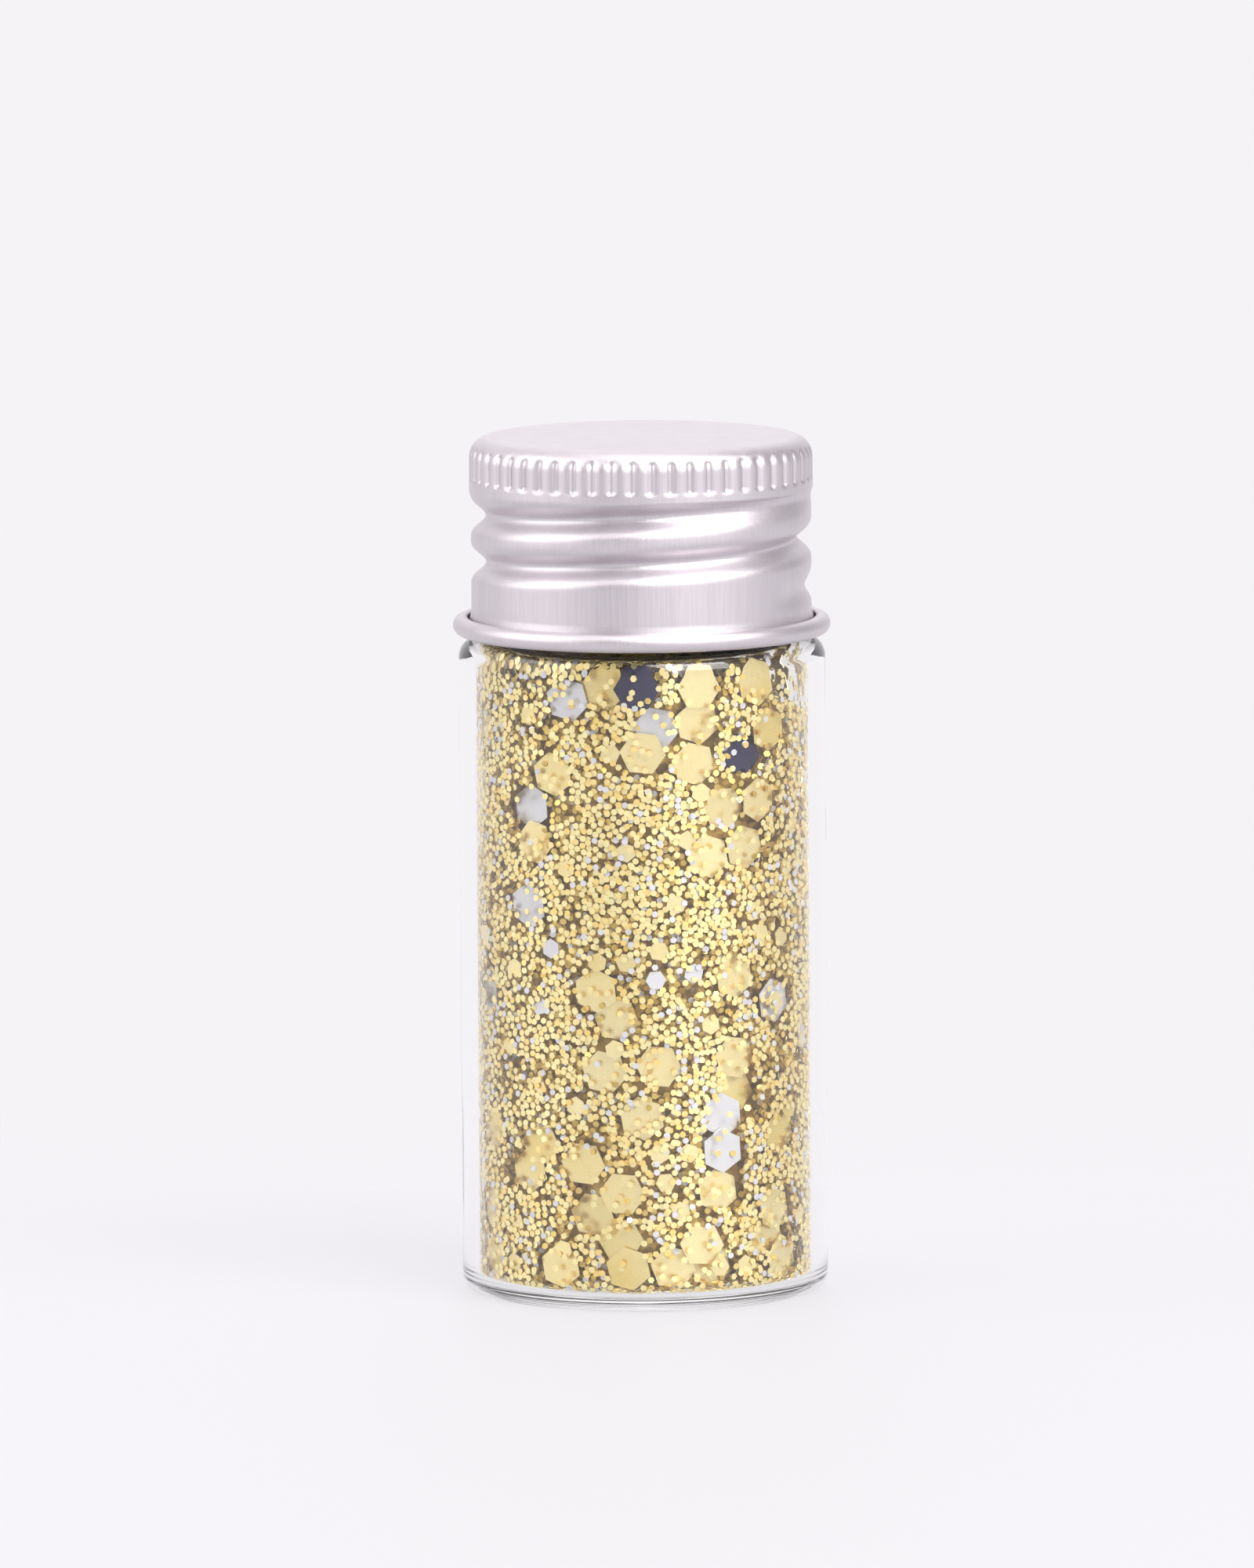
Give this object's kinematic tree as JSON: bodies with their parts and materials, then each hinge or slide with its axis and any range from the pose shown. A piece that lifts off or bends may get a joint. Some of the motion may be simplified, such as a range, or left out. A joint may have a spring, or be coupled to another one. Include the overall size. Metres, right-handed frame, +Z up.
{
  "type": "screw-capped sample vial",
  "caption": "Clear glass sample vial with a rolled-thread aluminium screw cap, filled with loose hexagonal gold and silver glitter flakes.",
  "frame": {"origin": "middle of the base, on the surface that the vial stands on", "axes": "+Z up the vial's axis to the cap, -Y towards the viewer's side, +X to the viewer's right"},
  "size_m": [0.0226, 0.0226, 0.0515],
  "materials": {
    "clear_glass": "clear polished glass",
    "brushed_aluminium": "satin, finely brushed up and down the skirt",
    "disc_foam": "matt closed-cell foam",
    "flake_bed": "packed metallised film flakes",
    "gold_film": "metallised film, bright",
    "silver_film": "metallised film, bright",
    "dark_film": "metallised film, dark blue-grey"
  },
  "bodies": {
    "vial": {"glass_vial": "clear_glass", "flake_bulk": "flake_bed", "gold_flakes_large": "gold_film", "silver_flakes_large": "silver_film", "dark_flakes_large": "dark_film", "gold_flakes_medium": "gold_film", "silver_flakes_medium": "silver_film"},
    "disc": {"sealing_disc": "disc_foam"},
    "cap": {"screw_cap": "brushed_aluminium"}
  },
  "joints": [
    {"name": "cap_rise", "type": "slide", "parent": "vial", "child": "disc", "axis": [0, 0, 1], "range_m": [0, 0.0112]},
    {"name": "cap_turn", "type": "hinge", "parent": "disc", "child": "cap", "pos_m": [0, 0, 0.05], "axis": [0, 0, 1], "range_deg": [0, 1440]}
  ],
  "couplings": [
    {"joint": "cap_rise", "follows": "cap_turn", "m_per_rad": 0.00044563}
  ]
}
